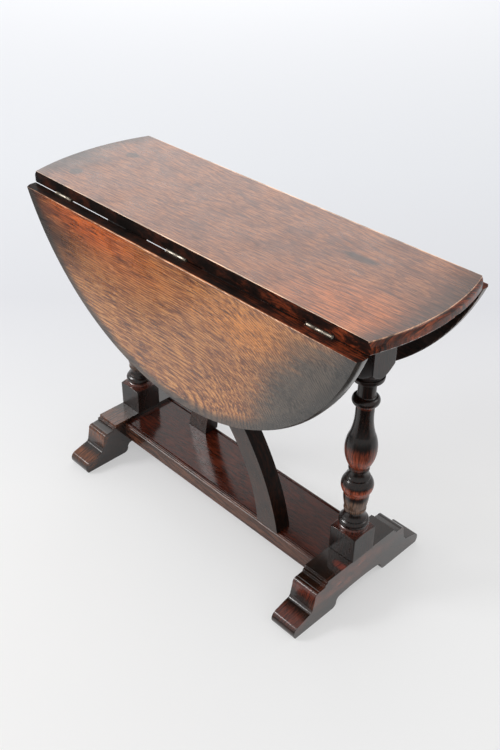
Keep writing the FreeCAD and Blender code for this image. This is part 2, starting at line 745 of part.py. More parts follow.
def make_bracket(name, side):
    """A swing bracket: a sabre-curved arm on a pin in the shelf, tenoned into a rail under the top."""
    pivot = (side * bracket_pivot_along, -side * bracket_pivot_out)
    half_foot = bracket_foot_width / 2
    half_thick = bracket_thickness / 2
    arm = new_body(f"{name}_bracket_arm")
    curve = add_sketch(arm, "Curve", "XZ_Plane")
    outer = scaled(arm_outer_shares, bracket_reach, arm_height)
    inner = scaled(arm_inner_shares, bracket_reach, arm_height)
    belly = scaled([arm_belly_share], bracket_reach, arm_height)[0]
    draw_outline(curve, [(half_foot, 0)] + outer + inner + [(-half_foot, 0) + belly])
    extrude(arm, "Pad", curve, bracket_thickness, symmetric=True)
    tenon = add_sketch(arm, "HeadTenon", "XZ_Plane")
    tenon_ends = [bracket_reach * share for share in (tenon_start_share, tenon_end_share)]
    draw_rectangle(tenon, *tenon_ends, arm_height, arm_height + tenon_length)
    extrude(arm, "Pad", tenon, bracket_tenon_thickness, symmetric=True)
    bore = add_sketch(arm, "PinBore", "XY_Plane")
    draw_circles(bore, [(0, 0)], foot_pin_radius + running_gap)
    extrude(arm, "Pocket", bore, foot_pin_rise)
    seat(arm, *pivot, bracket_foot_level, turned(side))

    rail = new_body(f"{name}_bracket_rail")
    plan = add_sketch(rail, "Plan", "XY_Plane")
    draw_outline(plan, [(-bracket_reach, -half_thick), (0, -half_thick), (0, half_thick, half_thick, 0),
                        (-bracket_reach, half_thick)])
    extrude(rail, "Pad", plan, bracket_rail_depth)
    nose = add_sketch(rail, "Nose", "XZ_Plane")
    eased = bracket_nose * (1 - math.cos(math.pi / 4))
    draw_outline(nose, [(-bracket_reach - overrun, -overrun), (bracket_nose - bracket_reach, -overrun),
                        (bracket_nose - bracket_reach, 0),
                        (-bracket_reach, bracket_nose, eased - bracket_reach, eased),
                        (-bracket_reach - overrun, bracket_nose)])
    extrude(rail, "Pocket", nose, bracket_thickness + overrun, symmetric=True)
    mortise = add_sketch(rail, "Mortise", "XY_Plane")
    wide = bracket_tenon_thickness / 2 + joint_gap
    draw_rectangle(mortise, tenon_ends[0] - joint_gap, tenon_ends[1] + joint_gap, -wide, wide)
    extrude(rail, "Pocket", mortise, tenon_length + joint_gap)
    bore = add_sketch(rail, "PinBore", "XY_Plane")
    draw_circles(bore, [(0, 0)], top_pin_radius + running_gap)
    extrude(rail, "Pocket", bore, bracket_rail_depth + overrun)
    seat(rail, *pivot, bracket_rail_level, turned(side))


def make_bracket_pins(name, side):
    """The pins a bracket turns on: one up from the shelf, one down from the top board."""
    pivot = (side * bracket_pivot_along, -side * bracket_pivot_out)
    foot_pin = doc.addObject("Part::Cylinder", f"{name}_foot_pin")
    foot_pin.setExpression("Radius", foot_pin_radius.formula)
    foot_pin_length = foot_pin_bite + bracket_foot_gap + foot_pin_rise - joint_gap
    foot_pin.setExpression("Height", foot_pin_length.formula)
    seat(foot_pin, *pivot, shelf_top - foot_pin_bite)
    top_pin = doc.addObject("Part::Cylinder", f"{name}_top_pin")
    top_pin.setExpression("Radius", top_pin_radius.formula)
    top_pin.setExpression("Height", (top_pin_bite + bracket_top_gap + bracket_rail_depth).formula)
    seat(top_pin, *pivot, bracket_rail_level)


# Assembly

for side, leaf_name, leg_name in ((1, "front", "right"), (-1, "back", "left")):
    make_leg(leg_name, side)
    make_foot(leg_name, side)
    make_leaf(leaf_name, side)
    make_hinges(leaf_name, side)
    make_hinge_screws(leaf_name, side)
    make_bracket(leaf_name, side)
    make_bracket_pins(leaf_name, side)
make_top_board()
make_shelf()
make_top_rail()
make_rail_screws()
doc.recompute()

failed = [piece.Label for piece in doc.Objects if {"Invalid", "Error"} & set(piece.State)]
if failed:
    raise RuntimeError(f"not computed: {failed}")

cuts = ("PartDesign::Pocket", "PartDesign::Groove", "PartDesign::Hole")
for cut in doc.Objects:
    if cut.TypeId in cuts and cut.Shape.Volume >= cut.BaseFeature.Shape.Volume:
        raise RuntimeError(f"{cut.Name} cuts nothing")

kept_types = ("PartDesign::Body", "Part::Cylinder", "Part::Feature")
sub_parts = [piece for piece in doc.Objects if piece.TypeId in kept_types]
os.makedirs("parts", exist_ok=True)
for piece in sub_parts:
    if piece.Shape.isNull() or not piece.Shape.isValid():
        raise RuntimeError(f"{piece.Label} has no valid shape")
for piece in sub_parts:
    piece.Shape.exportStep(f"parts/{piece.Label}.step")
print(len(sub_parts), "sub-parts")
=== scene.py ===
import json
import math

import bpy
from mathutils import Matrix, Vector

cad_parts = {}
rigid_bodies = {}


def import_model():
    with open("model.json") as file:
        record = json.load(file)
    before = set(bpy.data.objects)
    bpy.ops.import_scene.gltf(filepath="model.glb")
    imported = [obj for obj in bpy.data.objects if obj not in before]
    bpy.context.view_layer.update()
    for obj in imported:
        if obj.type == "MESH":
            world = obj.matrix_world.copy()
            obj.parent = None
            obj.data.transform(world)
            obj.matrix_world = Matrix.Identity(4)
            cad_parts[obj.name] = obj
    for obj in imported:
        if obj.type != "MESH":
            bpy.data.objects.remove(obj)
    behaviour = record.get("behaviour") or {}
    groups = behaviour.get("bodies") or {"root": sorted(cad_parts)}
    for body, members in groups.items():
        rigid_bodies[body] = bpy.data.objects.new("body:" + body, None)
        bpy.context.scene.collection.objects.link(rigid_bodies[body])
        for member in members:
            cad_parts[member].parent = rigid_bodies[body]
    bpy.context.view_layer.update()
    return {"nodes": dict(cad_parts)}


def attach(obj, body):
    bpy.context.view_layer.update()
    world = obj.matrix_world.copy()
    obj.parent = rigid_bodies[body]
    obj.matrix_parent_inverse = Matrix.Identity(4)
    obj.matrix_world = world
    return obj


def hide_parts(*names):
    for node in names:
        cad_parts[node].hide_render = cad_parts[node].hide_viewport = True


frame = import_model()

# Feet
# The two sledge feet are sawn from 44 mm oak plank. The rolls and steps of their toes are cut across
# its ends, and a leg's spigot is glued into the top of each. The rolls are rubbed red, and the flat
# tops are nearly black with old polish.

MM = 0.001


def linear(colour):
    """A colour written as sRGB hex, as the linear values that Blender's sockets take."""
    values = []
    for start in (0, 2, 4):
        level = int(colour[start:start + 2], 16) / 255
        values.append(level / 12.92 if level <= 0.04045 else ((level + 0.055) / 1.055) ** 2.4)
    return (*values, 1.0)


def metres(sizes):
    """Sizes in mm, as metres."""
    return tuple(size * MM for size in sizes)


def cells(*sizes):
    """The scale of a pattern, in cells per metre, from the sizes of its cells in mm."""
    return tuple(1 / (size * MM) for size in sizes)


def new_material(name):
    """A material without nodes, and its empty node tree."""
    material = bpy.data.materials.new(name)
    material.use_nodes = True
    material.node_tree.nodes.clear()
    return material, material.node_tree


def add_node(tree, kind, links=None, **settings):
    """Adds a shader node. Links give an input another node's output or a fixed value. Settings are
    the node's properties or, where it has none so named, its inputs."""
    node = tree.nodes.new("ShaderNode" + kind)
    for name, value in settings.items():
        if hasattr(node, name):
            setattr(node, name, value)
        else:
            label = name.replace("_", " ").title()
            node.inputs[label].default_value = value
    for socket, source in (links or {}).items():
        if isinstance(source, (int, float, tuple)):
            node.inputs[socket].default_value = source
        else:
            tree.links.new(source, node.inputs[socket])
    return node


def oak(name, turn, heart, ring, colours, patches=(), crowd=0.0, lean=0.055, bend=-2000, figure=0.35,
        cloudy=0.3, fleck=1.8, gloss=0.2, coat=0.5, shine=0.5, pore_depth=0.05):
    """Old polished oak, with lengths in mm. Turn, in degrees, brings the grain along X and the board's
    face up Z. Heart is where the rings centre, ring how far apart they lie there and crowd how much
    closer they get per mm. Past bend, the heart comes to rise through the board by lean per length.
    Fleck is how long the fibre's flecks are along a ring that is cut across. Colours are the wood's
    dark, middle and light. Figure and cloudy are how much rings and clouds show. Gloss is roughness,
    coat the thickness of the polish, shine how strongly the wood under it reflects, and pore_depth
    how deep the pores look. A patch has a centre, radii, a softness, a colour and a strength. With
    radii below zero it is what lies outside."""
    material, tree = new_material(name)
    place = add_node(tree, "TexCoord").outputs["Object"]
    board = add_node(tree, "Mapping", {0: place}, vector_type="POINT")
    board.inputs["Rotation"].default_value = [math.radians(angle) for angle in turn]
    board = board.outputs[0]

    # The tree's rings: tubes round a heart that runs a little out of line with the board, so that
    # they meet its face as long nested arches. They wander by 14 mm over half a metre and shiver by
    # 6 mm over a hand's width, and a bend in the heart is drawn out over 120 mm.
    wander_reach, shiver_reach, gradual = 14, 6, 120
    slow = add_node(tree, "VectorMath", {0: board, 1: cells(454.5, 111.1, 111.1)}, operation="MULTIPLY")
    wander = add_node(tree, "TexNoise", {"Vector": slow.outputs[0]}, Scale=1.0, Detail=3.0, Roughness=0.55)
    centred = add_node(tree, "VectorMath", {0: board, 1: metres(heart)}, operation="SUBTRACT")
    parts = add_node(tree, "SeparateXYZ", {0: centred.outputs[0]})
    past = add_node(tree, "Math", {0: parts.outputs["X"], 1: bend * MM, 2: gradual * MM},
                    operation="SMOOTH_MAX")
    sloped = add_node(tree, "Math", {0: past.outputs[0], 1: lean, 2: parts.outputs["Z"]},
                      operation="MULTIPLY_ADD")
    flat = add_node(tree, "CombineXYZ", {"Y": parts.outputs["Y"], "Z": sloped.outputs[0]})
    radius = add_node(tree, "VectorMath", {0: flat.outputs[0]}, operation="LENGTH")
    strayed = add_node(tree, "Math", {0: wander.outputs["Fac"], 1: wander_reach * MM,
                                      2: radius.outputs["Value"]}, operation="MULTIPLY_ADD")
    near = add_node(tree, "VectorMath", {0: board, 1: cells(71.43, 22.22, 22.22)}, operation="MULTIPLY")
    shiver = add_node(tree, "TexNoise", {"Vector": near.outputs[0]}, Scale=1.0, Detail=2.0, Roughness=0.5)
    strayed = add_node(tree, "Math", {0: shiver.outputs["Fac"], 1: shiver_reach * MM,
                                      2: strayed.outputs[0]}, operation="MULTIPLY_ADD")
    crowded = add_node(tree, "Math", {0: strayed.outputs[0], 1: crowd / MM, 2: 1.0},
                       operation="MULTIPLY_ADD")
    spread = add_node(tree, "Math", {0: strayed.outputs[0], 1: crowded.outputs[0]}, operation="MULTIPLY")
    count = add_node(tree, "Math", {0: spread.outputs[0], 1: ring * MM}, operation="DIVIDE")
    year = add_node(tree, "Math", {0: count.outputs[0]}, operation="FRACT")

    # One year's growth: dark, porous early wood, then paler late wood.
    growth = add_node(tree, "ValToRGB", {"Fac": year.outputs[0]})
    stops = growth.color_ramp.elements
    stops[0].position, stops[0].color = 0.0, (0.0, 0.0, 0.0, 1)
    stops[1].position, stops[1].color = 1.0, (0.7, 0.7, 0.7, 1)
    for position, level in ((0.22, 0.25), (0.42, 0.9), (0.80, 1.0)):
        stop = stops.new(position)
        stop.color = (level, level, level, 1)

    # Flecks of the fibre, 29 mm long and 1.8 mm wide, which follow the rings, and open pores 12.5 mm
    # long. Real pores are 0.3 mm wide, which wouldn't show, so they are drawn 1.5 mm wide. Clouds of
    # light and dark wood are 42 mm across.
    course = add_node(tree, "CombineXYZ", {"X": parts.outputs["X"], "Y": strayed.outputs[0],
                                           "Z": parts.outputs["Y"]})
    fibre = add_node(tree, "VectorMath", {0: course.outputs[0], 1: cells(29.41, 1.7857, fleck)},
                     operation="MULTIPLY")
    streak = add_node(tree, "TexNoise", {"Vector": fibre.outputs[0]}, Scale=1.0, Detail=4.0, Roughness=0.7)
    vessel = add_node(tree, "VectorMath", {0: board, 1: cells(12.5, 1.5385, 1.5385)}, operation="MULTIPLY")
    pores = add_node(tree, "TexNoise", {"Vector": vessel.outputs[0]}, Scale=1.0, Detail=1.0, Roughness=0.4)
    open_pore = add_node(tree, "MapRange", {"Value": pores.outputs["Fac"], "From Min": 0.50,
                                            "From Max": 0.66})
    cloud = add_node(tree, "TexNoise", {"Vector": board}, Scale=1 / (41.67 * MM), Detail=5.0,
                     Roughness=0.62)

    # Wood colour: rings, streaks and clouds added up, then read off a scale of three colours. Noise
    # keeps to the middle of its range, so it is stretched from there to the full contrast.
    fine = add_node(tree, "MapRange", {"Value": streak.outputs["Fac"], "From Min": 0.36, "From Max": 0.64})
    broad = add_node(tree, "MapRange", {"Value": cloud.outputs["Fac"], "From Min": 0.3, "From Max": 0.7})
    faded = add_node(tree, "MapRange", {"Value": shiver.outputs["Fac"], "From Min": 0.36, "From Max": 0.6})
    ringed = add_node(tree, "Math", {0: faded.outputs[0], 1: figure}, operation="MULTIPLY")
    first = add_node(tree, "Mix", {0: ringed.outputs[0], 2: fine.outputs[0], 3: growth.outputs["Color"]},
                     data_type="FLOAT")
    level = add_node(tree, "Mix", {0: cloudy, 2: first.outputs[0], 3: broad.outputs[0]}, data_type="FLOAT")
    wood = add_node(tree, "ValToRGB", {"Fac": level.outputs[0]})
    stops = wood.color_ramp.elements
    stops[0].position, stops[0].color = 0.22, linear(colours[0])
    stops[1].position, stops[1].color = 0.75, linear(colours[2])
    stops.new(0.5).color = linear(colours[1])
    pore_darkness = 0.45
    dark_pore = add_node(tree, "Math", {0: open_pore.outputs[0], 1: pore_darkness}, operation="MULTIPLY")
    colour = add_node(tree, "Mix", {0: dark_pore.outputs[0], 6: wood.outputs["Color"],
                                    7: linear(colours[0])}, data_type="RGBA").outputs[2]

    # Stain, wear, painted highlights and painted shade, each a soft patch with a ragged edge. The grain
    # shows through as light and dark.
    grain = add_node(tree, "MapRange", {"Value": level.outputs[0], "From Min": 0.25, "From Max": 0.75,
                                        "To Min": 0.3, "To Max": 1.65})
    torn_fibre = add_node(tree, "VectorMath", {0: board, 1: cells(71.43, 8.333, 8.333)},
                          operation="MULTIPLY")
    ragged = add_node(tree, "TexNoise", {"Vector": torn_fibre.outputs[0]}, Scale=1.0, Detail=4.0,
                      Roughness=0.65)
    for centre, radii, soft, patch_colour, strength in patches:
        apart = add_node(tree, "VectorMath", {0: place, 1: metres(centre)}, operation="SUBTRACT")
        share = add_node(tree, "VectorMath", {0: apart.outputs[0], 1: cells(*map(abs, radii))},
                         operation="MULTIPLY")
        away = add_node(tree, "VectorMath", {0: share.outputs[0]}, operation="LENGTH")
        torn = add_node(tree, "Math", {0: ragged.outputs["Fac"], 1: soft * 2, 2: away.outputs["Value"]},
                        operation="MULTIPLY_ADD")
        middle, beyond = (strength, 0.0) if radii[0] > 0 else (0.0, strength)
        mask = add_node(tree, "MapRange", {"Value": torn.outputs[0], "From Min": 1.0,
                                           "From Max": 1 + 2 * soft, "To Min": middle, "To Max": beyond},
                        interpolation_type="SMOOTHSTEP")
        stain_and_painted_light = add_node(tree, "VectorMath", {0: linear(patch_colour)[:3], "Scale": grain.outputs[0]},
                           operation="SCALE")
        colour = add_node(tree, "Mix", {0: mask.outputs[0], 6: colour, 7: stain_and_painted_light.outputs[0]},
                          data_type="RGBA").outputs[2]

    # French polish: even gloss, dulled in the pores and by a haze of handling in spots of 45 mm.
    haze = add_node(tree, "TexNoise", {"Vector": place}, Scale=1 / (45.45 * MM), Detail=3.0, Roughness=0.6)
    sheen = add_node(tree, "MapRange", {"Value": haze.outputs["Fac"], "From Min": 0.3, "From Max": 0.7,
                                        "To Min": gloss * 0.8, "To Max": gloss * 1.3})
    pore_dulling, fibre_relief = 0.08, 0.25
    rough = add_node(tree, "Math", {0: open_pore.outputs[0], 1: pore_dulling, 2: sheen.outputs[0]},
                     operation="MULTIPLY_ADD")
    relief = add_node(tree, "Math", {0: fine.outputs[0], 1: fibre_relief}, operation="MULTIPLY")
    sunk = add_node(tree, "Math", {0: relief.outputs[0], 1: open_pore.outputs[0]}, operation="SUBTRACT")
    bump = add_node(tree, "Bump", {"Height": sunk.outputs[0]}, Strength=0.5, Distance=pore_depth * MM)
    surface = add_node(tree, "BsdfPrincipled", {"Base Color": colour, "Roughness": rough.outputs[0],
                                                "Normal": bump.outputs[0], "IOR": 1.5,
                                                "Specular IOR Level": shine, "Coat Weight": coat,
                                                "Coat Roughness": gloss * 0.6})
    add_node(tree, "OutputMaterial", {"Surface": surface.outputs[0]})
    return material


def dress(node_name, material, arris=0.8):
    """Gives a carried-over solid its finish and eases its sharp edges by arris, in mm."""
    piece = frame["nodes"][node_name]
    piece.data.materials.clear()
    piece.data.materials.append(material)
    if not arris:
        return piece
    weld = piece.modifiers.new("Weld", "WELD")
    weld.merge_threshold = 0.01 * MM
    plain = piece.modifiers.new("PlainFaces", "DECIMATE")
    plain.decimate_type = "DISSOLVE"
    plain.angle_limit = math.radians(0.5)
    ease = piece.modifiers.new("EasedArris", "BEVEL")
    ease.width = arris * MM
    ease.segments = 3
    ease.limit_method = "ANGLE"
    ease.angle_limit = math.radians(35)
    normals = piece.modifiers.new("FaceNormals", "WEIGHTED_NORMAL")
    normals.keep_sharp = False
    return piece


# Dark, thickly polished oak: nearly black, with hard small highlights on every roll and step.
foot_oak = oak("polished_oak_foot", turn=(0, 0, -90), heart=(0, 10, 90), ring=5.0, fleck=4.0, figure=0.2,
               colours=("150e0a", "21140e", "301a10"), gloss=0.17, coat=0.8, shine=0.24, pore_depth=0.02,
               patches=[((256, -39, 69), (11, 6, 6), 0.5, "7a2a18", 0.8),
                        ((-243, -104, 52), (40, 12, 12), 0.6, "7e4726", 0.6),
                        ((-243, -128, 22), (40, 12, 12), 0.6, "7e4726", 0.6),
                        ((-243, -66, 69), (40, 24, 5), 0.6, "6e4430", 0.7),
                        ((265, -30, 48), (9, 80, 16), 0.8, "6c3a2a", 0.65),
                        ((243, -104, 52), (40, 10, 10), 0.6, "5a2416", 0.8),
                        ((243, -128, 22), (40, 11, 12), 0.6, "5a2416", 0.8)])
for name in ("right_foot", "left_foot"):
    dress(name, foot_oak)

# Legs
# Each leg is one square oak post, turned between its two blocks: a ring, a cove, a ball, a long
# vase, another ball and the rings above the foot. Its lower end is a round spigot glued into the
# foot. Hands and polish have left the swells red and the hollows black.

# In mm: half the post's width, the height of the foot's top, the leg's length above it, and how
# far each leg stands from the middle of the table.
leg_half = 23.0
leg_foot = 69.0
leg_height = 421.5
leg_place = 243.0

# The turning, top down. A row's first two numbers are where a line ends: the radius over leg_half
# and the height over leg_height. Where four are given, it is an arc through the last two.
turning = [
    (1.445, 0.777),
    (0.960, 0.742, 1.220, 0.761),
    (0.840, 0.7405),
    (0.840, 0.733),
    (0.955, 0.732),
    (0.925, 0.717, 0.955, 0.724),
    (0.840, 0.714),
    (0.535, 0.710),
    (0.535, 0.656),
    (0.600, 0.653),
    (0.570, 0.620, 0.820, 0.6365),
    (0.552, 0.618),
    (0.552, 0.592),
    (0.748, 0.506, 0.575, 0.556),
    (0.640, 0.376, 0.978, 0.439),
    (0.590, 0.373),
    (0.645, 0.369),
    (0.645, 0.361),
    (0.595, 0.358),
    (0.740, 0.332, 0.615, 0.342),
    (0.760, 0.328),
    (0.730, 0.325),
    (0.800, 0.264, 1.005, 0.295),
    (0.795, 0.261),
    (0.655, 0.197, 0.775, 0.230),
    (0.705, 0.193),
    (0.705, 0.187),
    (0.650, 0.184),
    (0.770, 0.156, 0.645, 0.169),
    (0.810, 0.153),
    (0.790, 0.149),
    (0.860, 0.124, 0.955, 0.137),
    (0.930, 0.121),
    (0.930, 0.107, 0.965, 0.114),
    (1.445, 0.099, 1.170, 0.104),
]


def arc_between(start, middle, finish, steps):
    """Points after start on the arc through the three points, up to finish."""
    (ax, ay), (bx, by), (cx, cy) = start, middle, finish
    double = 2 * (ax * (by - cy) + bx * (cy - ay) + cx * (ay - by))
    squares = [x * x + y * y for x, y in (start, middle, finish)]
    ox = (squares[0] * (by - cy) + squares[1] * (cy - ay) + squares[2] * (ay - by)) / double
    oy = (squares[0] * (cx - bx) + squares[1] * (ax - cx) + squares[2] * (bx - ax)) / double
    turns = [math.atan2(y - oy, x - ox) for x, y in (start, middle, finish)]
    whole = (turns[2] - turns[0]) % math.tau
    if (turns[1] - turns[0]) % math.tau > whole:
        whole -= math.tau
    reach = math.hypot(ax - ox, ay - oy)
    return [(ox + reach * math.cos(turns[0] + whole * step / steps),
             oy + reach * math.sin(turns[0] + whole * step / steps)) for step in range(1, steps + 1)]


def turned_profile():
    """The leg's radius against its height, top down. Its points lie one step apart, and each is
    eased with its neighbours within reach, so that no corner is left sharp."""
    step = 0.35
    arc_steps = 24
    reach = 3
    spread = 1.3
    rough = [(turning[0][0] * leg_half, leg_height * turning[0][1])]
    for row in turning[1:]:
        finish = (row[0] * leg_half, row[1] * leg_height)
        if len(row) == 4:
            rough += arc_between(rough[-1], (row[2] * leg_half, row[3] * leg_height), finish, arc_steps)
        else:
            rough.append(finish)
    even = []
    carried = 0.0
    for (r0, z0), (r1, z1) in zip(rough, rough[1:]):
        length = math.hypot(r1 - r0, z1 - z0)
        while carried < length:
            share = carried / length
            even.append((r0 + (r1 - r0) * share, z0 + (z1 - z0) * share))
            carried += step
        carried -= length
    even.append(rough[-1])
    offsets = range(-reach, reach + 1)
    weights = [math.exp(-(offset / spread) ** 2 / 2) for offset in offsets]
    eased = []
    for index in range(len(even)):
        near = [even[min(max(index + offset, 0), len(even) - 1)] for offset in offsets]
        eased.append(tuple(sum(w * point[axis] for w, point in zip(weights, near)) / sum(weights)
                           for axis in (0, 1)))
    return eased


def square_reach(angle, half, ease):
    """How far a square post with eased arrises reaches from its axis at an angle."""
    c, s = abs(math.cos(angle)), abs(math.sin(angle))
    inner = half - ease
    plain = half / max(c, s)
    if min(c, s) * plain <= inner:
        return plain
    along = inner * (c + s)
    return along + math.sqrt(max(along * along - 2 * inner * inner + ease * ease, 0))


def new_object(name, data):
    """A new object in the scene, with this mesh, light or camera."""
    made = bpy.data.objects.new(name, data)
    bpy.context.scene.collection.objects.link(made)
    return made


def make_leg(name, side, material):
    """One leg as rings of points, each on the turning or on the square post, whichever is further in.
    The two are blended over half a millimetre where they cross."""
    past_corner = leg_half * 1.45
    eased_arris = 1.4
    blend = 0.5
    profile = turned_profile()
    top = [(past_corner, leg_height - share * (leg_height - profile[0][1])) for share in
           (0, 0.003, 0.01, 0.25, 0.5, 0.75, 0.95)]
    bottom = [(past_corner, profile[-1][1] * share) for share in (0.95, 0.7, 0.4, 0.02, 0.0)]
    rings = top + profile + bottom
    # Degrees round the leg, closer together towards the post's arrises.
    quarter = [third * 3 for third in range(0, 14)] + [40.5, 41.5, 42.2, 42.8, 43.4, 44.0, 44.5]
    angles = quarter + [45.0] + [90 - angle for angle in reversed(quarter[1:])]
    angles = [angle + 90 * turn for turn in range(4) for angle in angles]
    points = []
    for radius, height in rings:
        for angle in angles:
            turn = math.radians(angle)
            square = square_reach(turn, leg_half, eased_arris)
            gap = max(blend - abs(radius - square), 0) / blend
            reach = min(radius, square) - gap * gap * blend / 4
            points.append(((leg_place * side + reach * math.cos(turn)) * MM, reach * math.sin(turn) * MM,
                           (leg_foot + height) * MM))
    count = len(angles)
    faces = []
    for ring in range(len(rings) - 1):
        for index in range(count):
            following = (index + 1) % count
            faces.append((ring * count + index, (ring + 1) * count + index,
                          (ring + 1) * count + following, ring * count + following))
    faces.append(tuple(range(count)))
    faces.append(tuple(reversed(range(len(points) - count, len(points)))))
    mesh = bpy.data.meshes.new(name)
    mesh.from_pydata(points, [], faces)
    mesh.polygons.foreach_set("use_smooth", [True] * len(faces))
    mesh.update()
    mesh.materials.append(material)
    leg = new_object(name, mesh)
    normals = leg.modifiers.new("FaceNormals", "WEIGHTED_NORMAL")
    normals.keep_sharp = False
    return leg


# The same dark polish, thinner on turned work. It is rubbed back to red wood on the vase, the balls
# and the rings: their heights in mm, how far up and down the red reaches, its colour and strength.
rubbed = ((246, 19, "80381f", 0.85), (187, 9, "8a4028", 0.85), (331, 4, "5e2a1a", 0.7),
          (159, 12, "6a5040", 0.7), (117, 5, "5a2a1e", 0.7))
leg_oak = oak("polished_oak_leg", turn=(0, 90, 0), heart=(0, 30, 260), ring=4.0,
              colours=("0c0807", "180e0a", "2c140c"), gloss=0.27, coat=0.2, shine=0.35, pore_depth=0.02,
              patches=[((side * leg_place, 0, height), (60, 60, reach), 0.3, colour, strength)
                       for side in (1, -1) for height, reach, colour, strength in rubbed])
for name, side in (("right", 1), ("left", -1)):
    leg = make_leg(f"turned_{name}_leg", side, leg_oak)
    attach(leg, "base")
    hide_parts(f"{name}_leg")

# Shelf
# One thick oak board between the feet, held by stub tenons. A quirk and a bead are planed along
# both its edges. Its polish is deep red brown and glossy enough to show the brackets upside down.

# Polished oak, with the stain thin on the beads and in the middle, where dusters rub it.
shelf_oak = oak("polished_oak_shelf", turn=(0, 0, 0), heart=(0, 25, -60), ring=5.5, fleck=4.0, figure=0.2,
                colours=("2a110a", "3e170c", "521f10"), gloss=0.16, coat=0.12, shine=0.28, pore_depth=0.02,
                patches=[((0, -55, 48), (300, 6, 18), 0.5, "604434", 0.55),
                         ((0, 55, 48), (300, 6, 18), 0.5, "604434", 0.55),
                         ((-10, -5, 62), (110, 34, 9), 0.8, "52200f", 0.55)])
dress("shelf", shelf_oak, arris=0.5)

# Top rail and its screws
# A plain rail is tenoned between the leg blocks, under the board. Three round-headed steel screws
# sit deep in counterbored holes and pull the board down to it.

# Stained and hardly polished: a dull dark brown with its pores open.
rail_oak = oak("stained_oak_rail", turn=(0, 0, 0), heart=(0, 40, 420), ring=4.5,
               colours=("100b09", "1d120d", "2c1811"), gloss=0.4, coat=0.15, pore_depth=0.2)
dress("top_rail", rail_oak)


def steel(name, colour, rough, worn):
    """Old mild steel: grey metal with a darker, duller skin of tarnish in clouds of 11 mm."""
    material, tree = new_material(name)
    place = add_node(tree, "TexCoord").outputs["Object"]
    cloud = add_node(tree, "TexNoise", {"Vector": place}, Scale=1 / (11.11 * MM), Detail=3.0, Roughness=0.6)
    tarnish = add_node(tree, "MapRange", {"Value": cloud.outputs["Fac"], "From Min": 0.42,
                                          "From Max": 0.66})
    tint = add_node(tree, "Mix", {0: tarnish.outputs[0], 6: linear(colour), 7: linear(worn)},
                    data_type="RGBA")
    tarnish_dulling = 0.3
    dull = add_node(tree, "Math", {0: tarnish.outputs[0], 1: tarnish_dulling, 2: rough},
                    operation="MULTIPLY_ADD")
    bump = add_node(tree, "Bump", {"Height": cloud.outputs["Fac"]}, Strength=0.2, Distance=0.03 * MM)
    surface = add_node(tree, "BsdfPrincipled", {"Base Color": tint.outputs[2], "Roughness": dull.outputs[0],
                                                "Normal": bump.outputs[0]}, Metallic=1.0)
    add_node(tree, "OutputMaterial", {"Surface": surface.outputs[0]})
    return material


# Grey steel under half a skin of brown tarnish.
screw_steel = steel("tarnished_steel_screw", "9a958c", 0.35, "3c3530")
dress("rail_screws", screw_steel, arris=0)

# Swing brackets and their pins
# Each bracket is a sabre-curved arm sawn from 27 mm oak, tenoned into a short rail under the top,
# and turns on two dry oak pins. Pulled out, it holds a raised leaf.

def refinish(piece, material, chosen):
    """Gives another finish to the faces that chosen picks by their centre in mm and their normal."""
    piece.data.materials.append(material)
    for face in piece.data.polygons:
        if chosen(face.center / MM, face.normal):
            face.material_index = len(piece.data.materials) - 1


# The flat cheeks of the arms are polished nearly as dark as the feet.
arm_oak = oak("polished_oak_bracket", turn=(0, 125, 0), heart=(0, 20, 70), ring=5.0, figure=0.2, fleck=4.0,
              colours=("1c110c", "2e1b12", "42261a"), gloss=0.2, coat=0.3, shine=0.42, pore_depth=0.02)
# Their sawn curves were stained but hardly polished, so they are dull, and nearly black partly
# from stain and partly from painted shade.
sawn_oak_painted_shade = oak("stained_oak_curve_painted_shade", turn=(0, 125, 0), heart=(0, 20, 70), ring=5.0, figure=0.2, fleck=4.0,
               colours=("0c0705", "180c08", "2c150c"), gloss=0.35, coat=0.0, shine=0.1, pore_depth=0.02)
for name in ("front", "back"):
    arm = dress(f"{name}_bracket_arm", arm_oak, arris=0.7)
    refinish(arm, sawn_oak_painted_shade, lambda centre, normal: abs(normal.y) < 0.5)
    dress(f"{name}_bracket_rail", rail_oak)
# Bare dry oak, never stained: the pins are pale brown and dull.
pin_oak = oak("dry_oak_pin", turn=(0, 90, 0), heart=(0, 60, 30), ring=3.0,
              colours=("5b3d22", "7d5a36", "977048"), gloss=0.6, coat=0.0)
for name in ("front", "back"):
    dress(f"{name}_foot_pin", pin_oak, arris=0)
    dress(f"{name}_top_pin", pin_oak, arris=0)

# Top board
# The middle slice of the round top, one flat-sawn oak board with moulded ends. Years of wax and
# sun have worn it orange brown, with dark old stain left round its ends and two ring marks.

# Waxed oak: open grain under a soft shine. The patches are the orange right end, the stain round
# both ends, two darker places in it, two ring marks, a knot, and the two long arrises, rubbed pale
# and with a painted highlight along them.
top_oak = oak("waxed_oak_top", turn=(0, 0, 0), heart=(-100, 30, 380), ring=3.6, figure=0.35, cloudy=0.3,
              colours=("5a2e18", "824725", "ae6a39"), gloss=0.3, coat=0.6,
              patches=[((280, -70, 508), (100, 50, 20), 0.8, "b8632c", 0.6),
                       ((0, 0, 508), (-316, -350, -400), 0.05, "3a2218", 0.8),
                       ((318, 40, 508), (36, 80, 20), 0.6, "4a3020", 0.3),
                       ((-318, -40, 508), (40, 50, 20), 0.6, "38231a", 0.7),
                       ((-277, -64, 508), (10, 10, 10), 0.2, "2c1c16", 0.8),
                       ((-270, 36, 508), (11, 9, 10), 0.2, "2c1c16", 0.75),
                       ((190, 33, 508), (26, 8, 10), 0.5, "33201a", 0.9),
                       # Painted highlight, partly rubbed pale wood: a light line along each long arris.
                       ((0, -107, 508), (316, 2.2, 2.2), 0.2, "f0c4a0", 0.85),
                       ((0, 107, 508), (316, 2.2, 2.2), 0.2, "f0c4a0", 0.85)])
